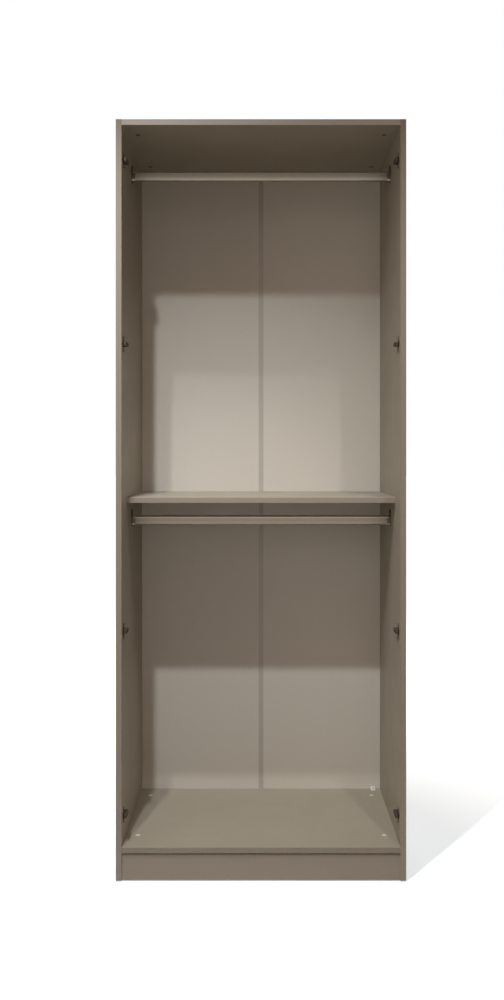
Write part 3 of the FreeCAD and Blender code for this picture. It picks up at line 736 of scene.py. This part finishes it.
def hinge_plates():
    plate = hinge_plate_form(HINGE_STAND_OFF)
    screw = sunk_screw(**HINGE_SCREW)
    for hand_name, hand in HANDS.items():
        off_wall = X_AXIS * -hand
        for number in range(1, HINGE_COUNT + 1):
            node = f"hinge_plate_{hand_name}_{number}"
            low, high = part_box(node)
            wall = low.x if hand < 0 else high.x
            middle = Vector((wall, low.y + SADDLE_FRONT, (low.z + high.z) / 2))
            at = pose(middle, Y_AXIS, off_wall)
            made = piece(f"{node}_casting", plate.copy(), HINGE_METAL, at)
            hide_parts(node)
            face = middle + off_wall * WING_THICKNESS
            heads = [face + Z_AXIS * end * WING_SCREW_SPACING / 2 for end in (-1, 1)]
            pair = copies(screw, [pose(head, Y_AXIS, off_wall) for head in heads])
            piece(f"hinge_screws_{hand_name}_{number}", pair, SCREW_STEEL)


# Rails and their sockets

RAIL_WALL = 1 * MM
RAIL_EASE = 0.3 * MM
SOCKET_WIDTH = 24 * MM
SOCKET_PLATE = 3 * MM
SOCKET_RISE = 7 * MM
SOCKET_WALL = 1.8 * MM
SOCKET_SCREW_RISE = 24 * MM
SOCKET_HOLE_RADIUS = 2 * MM
SOCKET_SEAT_RADIUS = 3.8 * MM
SOCKET_SEAT_LAND = 1 * MM
SOCKET_SCREW = {"head_radius": 3.5 * MM, "shank_radius": 1.7 * MM, "length": 13 * MM}
SOCKET_SCREW_SINK = 0.05 * MM
CUP_ROOT = 0.5 * MM
CUP_CUT_OVER = 5 * MM
RAIL_CLEARANCE = 0.3 * MM


def oval(width, height, steps=24):
    return upright_slot(-height / 2, height / 2, width, steps)


def hanging_rail(level):
    """A smooth oval tube along X, with its cut ends eased."""
    node = f"{level}_rail"
    size = size_of(node)
    half = size.x / 2
    stations = [
        (0.0, half - RAIL_EASE), (RAIL_EASE, half), (RAIL_WALL, half),
        (RAIL_WALL, -half), (RAIL_EASE, -half), (0.0, RAIL_EASE - half),
    ]
    rings = [[(x, y, z) for y, z in oval(size.y - 2 * inset, size.z - 2 * inset)] for inset, x in stations]
    tube = worked(skin(rings, closed=True))
    made = piece(f"{node}_tube", tube, RAIL_METAL, pose(middle_of(node)), body=node)
    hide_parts(node)


def socket_form(rail_width, rail_height, depth):
    """An eared plate with an open cup: Y up, Z off the wall, the rail's axis at the origin."""
    cup_width = rail_width + 2 * RAIL_CLEARANCE
    cup_low = -rail_height / 2 - RAIL_CLEARANCE
    eared = upright_slot(-SOCKET_FOOT, SOCKET_EAR, SOCKET_WIDTH)
    plate = worked(prism(eared, 0.0, SOCKET_PLATE), easing=0.6 * MM)
    cup = upright_cup(cup_low - SOCKET_WALL, SOCKET_RISE, cup_width + 2 * SOCKET_WALL)
    wall = prism(cup, CUP_ROOT, depth)
    inside = upright_cup(cup_low, SOCKET_RISE + CUP_CUT_OVER, cup_width)
    hollow = prism(inside, SOCKET_PLATE, depth + CUP_CUT_OVER)
    seat = turned([
        (SOCKET_HOLE_RADIUS, -CUT_OVER), (SOCKET_HOLE_RADIUS, SOCKET_SEAT_LAND),
        (SOCKET_SEAT_RADIUS, SOCKET_PLATE), (SOCKET_SEAT_RADIUS, CUP_CUT_OVER),
    ], at=(0, SOCKET_SCREW_RISE))
    return worked(plate, joins=[wall], cuts=[hollow, seat], easing=0.4 * MM)


def rail_sockets():
    rail = size_of("upper_rail")
    form = socket_form(rail.y, rail.z, size_of("rail_socket_upper_left").x)
    screw = sunk_screw(**SOCKET_SCREW)
    for level in LEVELS:
        axis = middle_of(f"{level}_rail")
        for hand_name, hand in HANDS.items():
            node = f"rail_socket_{level}_{hand_name}"
            low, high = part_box(node)
            wall = low.x if hand < 0 else high.x
            off_wall = X_AXIS * -hand
            sideways = Y_AXIS * -hand
            middle = Vector((wall, axis.y, axis.z))
            at = pose(middle, sideways, off_wall)
            made = piece(f"{node}_casting", form.copy(), SOCKET_METAL, at)
            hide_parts(node)
            head = middle + off_wall * (SOCKET_PLATE - SOCKET_SCREW_SINK) + Z_AXIS * SOCKET_SCREW_RISE
            piece(f"socket_screw_{level}_{hand_name}", screw.copy(), SCREW_STEEL,
                  pose(head, sideways, off_wall))


# Cam locks

CAM_RADIUS = 7.5 * MM
CAM_HEIGHT = 12 * MM
CAM_CHAMFER = 0.5 * MM
CAM_SLOT = {"reach": 4 * MM, "width": 1.7 * MM, "depth": 2 * MM}
ARROW_TIP = 6.5 * MM
ARROW_BASE = 4.9 * MM
ARROW_HALF_WIDTH = 1.3 * MM
ARROW_DEPTH = 0.5 * MM


def cam_form():
    """A cam drum with its face at z = 0: a cross slot, and an arrow along -X to the bolt."""
    profile = [(CAM_RADIUS, -CAM_HEIGHT), (CAM_RADIUS, -CAM_CHAMFER), (CAM_RADIUS - CAM_CHAMFER, 0.0)]
    drum = turned(profile, steps=40)
    cuts = cross_recess(**CAM_SLOT)
    arrow = [(-ARROW_TIP, 0.0), (-ARROW_BASE, -ARROW_HALF_WIDTH), (-ARROW_BASE, ARROW_HALF_WIDTH)]
    cuts.append(prism(arrow, -ARROW_DEPTH, CUT_OVER))
    return worked(drum, cuts=cuts, easing=0.12 * MM, segments=1)


def cam_locks():
    form = cam_form()
    for name, facing in (("top", -1), ("bottom", 1), ("shelf", -1)):
        node = f"{name}_cams"
        low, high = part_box(node)
        face = high.z if facing > 0 else low.z
        poses = []
        for x, inward in ((low.x + CAM_RADIUS, X_AXIS), (high.x - CAM_RADIUS, -X_AXIS)):
            for y in (low.y + CAM_RADIUS, high.y - CAM_RADIUS):
                poses.append(pose((x, y, face), inward, Z_AXIS * facing))
        made = piece(f"{name}_cam_drums", copies(form, poses), finish_of(node))
        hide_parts(node)


# Clip, glides and nails

CLIP_WALL = 3 * MM
CLIP_HOLE_INSET = 12 * MM
CLIP_RIB = 1.6 * MM
CLIP_RIB_DROP = 0.6 * MM
CLIP_SCREW = {
    "head_radius": 3.6 * MM, "head_height": 2 * MM, "shank_radius": 1.7 * MM, "length": 14 * MM,
}


def back_clip():
    """A moulded angle against the foot of the back: X runs to the rear, Y up, Z across."""
    low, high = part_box("back_clip")
    depth = high.y - low.y
    height = high.z - low.z
    half = (high.x - low.x) / 2
    angle = prism([
        (0, 0), (0, height), (-CLIP_WALL, height),
        (-CLIP_WALL, CLIP_WALL), (-depth, CLIP_WALL), (-depth, 0),
    ], -half, half)
    core = CLIP_WALL / 2
    brace = [(-core, core), (-core, height - CLIP_RIB_DROP), (-depth / 2, core)]
    ribs = [prism(brace, -half, CLIP_RIB - half), prism(brace, half - CLIP_RIB, half)]
    foot = Vector(((low.x + high.x) / 2, high.y, low.z))
    moulding = worked(angle, joins=ribs, easing=0.5 * MM)
    at = pose(foot, Y_AXIS, X_AXIS)
    made = piece("back_clip_moulding", moulding, CLIP_PLASTIC, at)
    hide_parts("back_clip")
    seat = foot + Z_AXIS * CLIP_WALL - Y_AXIS * CLIP_HOLE_INSET
    screw = round_head_screw(**CLIP_SCREW)
    piece("back_clip_screw", screw, BOLT_STEEL, pose(seat))


GLIDE_RADIUS = 7 * MM


def floor_glides():
    """Four domed plastic glides under the sides."""
    low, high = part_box("floor_glides")
    height = high.z - low.z
    profile = [
        (0.72 * GLIDE_RADIUS, 0.0), (0.9 * GLIDE_RADIUS, 0.15 * height),
        (GLIDE_RADIUS, 0.45 * height), (GLIDE_RADIUS, height),
    ]
    form = worked(turned(profile, steps=40))
    poses = []
    for x in (low.x + GLIDE_RADIUS, high.x - GLIDE_RADIUS):
        for y in (low.y + GLIDE_RADIUS, high.y - GLIDE_RADIUS):
            poses.append(pose((x, y, 0.0)))
    made = piece("floor_glide_domes", copies(form, poses), GLIDE_PLASTIC)
    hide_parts("floor_glides")


NAILS_UP = 8
NAILS_ACROSS = 3
NAIL_END_INSET = 60 * MM
BACK_NAIL = {
    "head_radius": 2.25 * MM, "head_height": 0.8 * MM, "shank_radius": 0.8 * MM, "length": 20 * MM,
}


def steps_between(first, last, count):
    return [first + (last - first) * n / (count - 1) for n in range(count)]


def back_nails():
    """Flat-headed nails round the edge of the back, into the rear edges of the boards."""
    poses = []
    top = middle_of("top_panel").z
    bottom = middle_of("bottom_panel").z
    for hand_name, hand in HANDS.items():
        low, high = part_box(f"back_panel_{hand_name}")
        side = middle_of(f"{hand_name}_side").x
        inner = high.x if hand < 0 else low.x
        heights = steps_between(low.z + NAIL_END_INSET, high.z - NAIL_END_INSET, NAILS_UP)
        spots = [(side, z) for z in heights]
        ends = (inner + hand * NAIL_END_INSET, side - hand * NAIL_END_INSET)
        spots += [(x, z) for x in steps_between(*ends, NAILS_ACROSS) for z in (top, bottom)]
        poses += [pose((x, high.y, z), X_AXIS, Y_AXIS) for x, z in spots]
    piece("back_nails", copies(flat_nail(**BACK_NAIL), poses), BOLT_STEEL)


hinge_plates()
for level in LEVELS:
    hanging_rail(level)
rail_sockets()
cam_locks()
back_clip()
floor_glides()
back_nails()


# Camera, at the photograph's viewing angle

PHOTO_WIDTH = 504
PHOTO_HEIGHT = 1000
FOCAL_PIXELS = 1083.5
VANISHING_POINT = (261, 446.0)
CAMERA_PLACE = (0.0, -3.243, 1.20)
SENSOR = 36.0


def photograph_camera():
    lens = bpy.data.cameras.new("photograph_camera")
    lens.sensor_width = SENSOR
    lens.lens = SENSOR * FOCAL_PIXELS / PHOTO_HEIGHT
    lens.shift_x = (PHOTO_WIDTH / 2 - VANISHING_POINT[0]) / PHOTO_HEIGHT
    lens.shift_y = (VANISHING_POINT[1] - PHOTO_HEIGHT / 2) / PHOTO_HEIGHT
    camera = bpy.data.objects.new("photograph_camera", lens)
    camera.location = CAMERA_PLACE
    camera.rotation_euler = (math.pi / 2, 0, 0)
    bpy.context.collection.objects.link(camera)
    bpy.context.scene.camera = camera


photograph_camera()


# Light, floor and background

PANEL_TINT = (1.0, 0.95, 0.86)
FAR_LAMP_TINT = (0.92, 0.96, 1.0)
AMBIENT_TINT = (0.197, 0.127, 0.088)
COOL_WHITE = (0.88, 0.955, 0.99, 1.0)
FLOOR_PAPER = (0.80, 0.86, 0.92, 1)
FLOOR_HALF_SIZE = 40
SHADOW_FULL_WITHIN = 0.6
SHADOW_GONE_BEYOND = 1.5
SHADOW_GLOW = 0.5


def aimed(name, light, place, target):
    made = bpy.data.objects.new(name, light)
    made.location = place
    made.rotation_euler = (Vector(target) - Vector(place)).to_track_quat("-Z", "Y").to_euler()
    bpy.context.collection.objects.link(made)


def ceiling_lamp(name, place, target, power, angle, radius, colour=(1, 1, 1)):
    light = bpy.data.lights.new(name, "SPOT")
    light.energy = power
    light.color = colour
    light.spot_size = math.radians(angle)
    light.spot_blend = 1.0
    light.shadow_soft_size = radius
    aimed(name, light, place, target)


def soft_panel(name, place, target, power, size):
    light = bpy.data.lights.new(name, "AREA")
    light.shape = "DISK"
    light.energy = power
    light.color = PANEL_TINT
    light.size = size
    aimed(name, light, place, target)


def seen_directly(tree):
    """1 for rays that show the background: from the camera, in reflections and through glass."""
    path = add(tree, "ShaderNodeLightPath").outputs
    shown = maths(tree, "MAXIMUM", path["Is Camera Ray"], path["Is Glossy Ray"])
    return maths(tree, "MAXIMUM", shown, path["Is Transmission Ray"])


def white_world(ambient):
    """White where it is seen; a soft warm light on the piece."""
    world = bpy.data.worlds.new("white_world")
    world.use_nodes = True
    tree = world.node_tree
    tree.nodes.clear()
    soft = add(tree, "ShaderNodeBackground", {"Color": (*ambient, 1), "Strength": 1.0}).outputs[0]
    white = add(tree, "ShaderNodeBackground", {"Color": WHITE, "Strength": 1.0}).outputs[0]
    chosen = add(tree, "ShaderNodeMixShader", {0: seen_directly(tree), 1: soft, 2: white}).outputs[0]
    add(tree, "ShaderNodeOutputWorld", {"Surface": chosen})
    bpy.context.scene.world = world


def pale_floor(half_size):
    """A white floor that keeps the shadow close to the wardrobe and fades into the white background."""
    mesh = bpy.data.meshes.new("floor")
    corners = rectangle(-half_size, half_size, -half_size, half_size)
    mesh.from_pydata([(x, y, 0) for x, y in corners], [], [(0, 1, 2, 3)])
    floor = bpy.data.objects.new("floor", mesh)
    bpy.context.collection.objects.link(floor)
    finish = bpy.data.materials.new("floor_white")
    finish.use_nodes = True
    tree = finish.node_tree
    tree.nodes.clear()
    paper = add(tree, "ShaderNodeBsdfDiffuse", {"Color": FLOOR_PAPER}).outputs[0]
    where = add(tree, "ShaderNodeTexCoord").outputs["Object"]
    away = add(tree, "ShaderNodeVectorMath", {0: where}, operation="LENGTH").outputs["Value"]
    fade = spread(tree, away, SHADOW_FULL_WITHIN, SHADOW_GONE_BEYOND)
    shown = spread(tree, fade, 0.0, 1.0, SHADOW_GLOW, 1.0)
    glow = maths(tree, "MULTIPLY", shown, seen_directly(tree))
    colour = mixed(tree, fade, COOL_WHITE, WHITE)
    light = add(tree, "ShaderNodeEmission", {"Color": colour, "Strength": glow}).outputs[0]
    both = add(tree, "ShaderNodeAddShader", {0: paper, 1: light}).outputs[0]
    add(tree, "ShaderNodeOutputMaterial", {"Surface": both})
    floor.data.materials.append(finish)


ceiling_lamp("far_lamp", (-0.50, -1.70, 3.19), (0.0, 0.12, 0.24),
             power=194, angle=53.5, radius=0.035, colour=FAR_LAMP_TINT)
ceiling_lamp("near_left_lamp", (-0.53, -1.06, 3.09), (-0.18, 0.08, 0.30), power=102, angle=39, radius=0.02)
ceiling_lamp("near_right_lamp", (0.58, -1.06, 3.09), (0.05, -0.02, 0.14), power=50, angle=45, radius=0.02)
soft_panel("front_panel", (0.0, -5.0, 1.6), (0, 0, 1.0), power=10, size=2.5)
soft_panel("left_panel", (-3.5, -3.5, 1.8), (0, 0, 1.0), power=18, size=2.0)
soft_panel("rear_panel", (0.6, 3.6, 2.6), (0, 0, 1.0), power=60, size=2.2)
white_world(AMBIENT_TINT)
pale_floor(FLOOR_HALF_SIZE)

bpy.context.scene.view_settings.view_transform = "Standard"
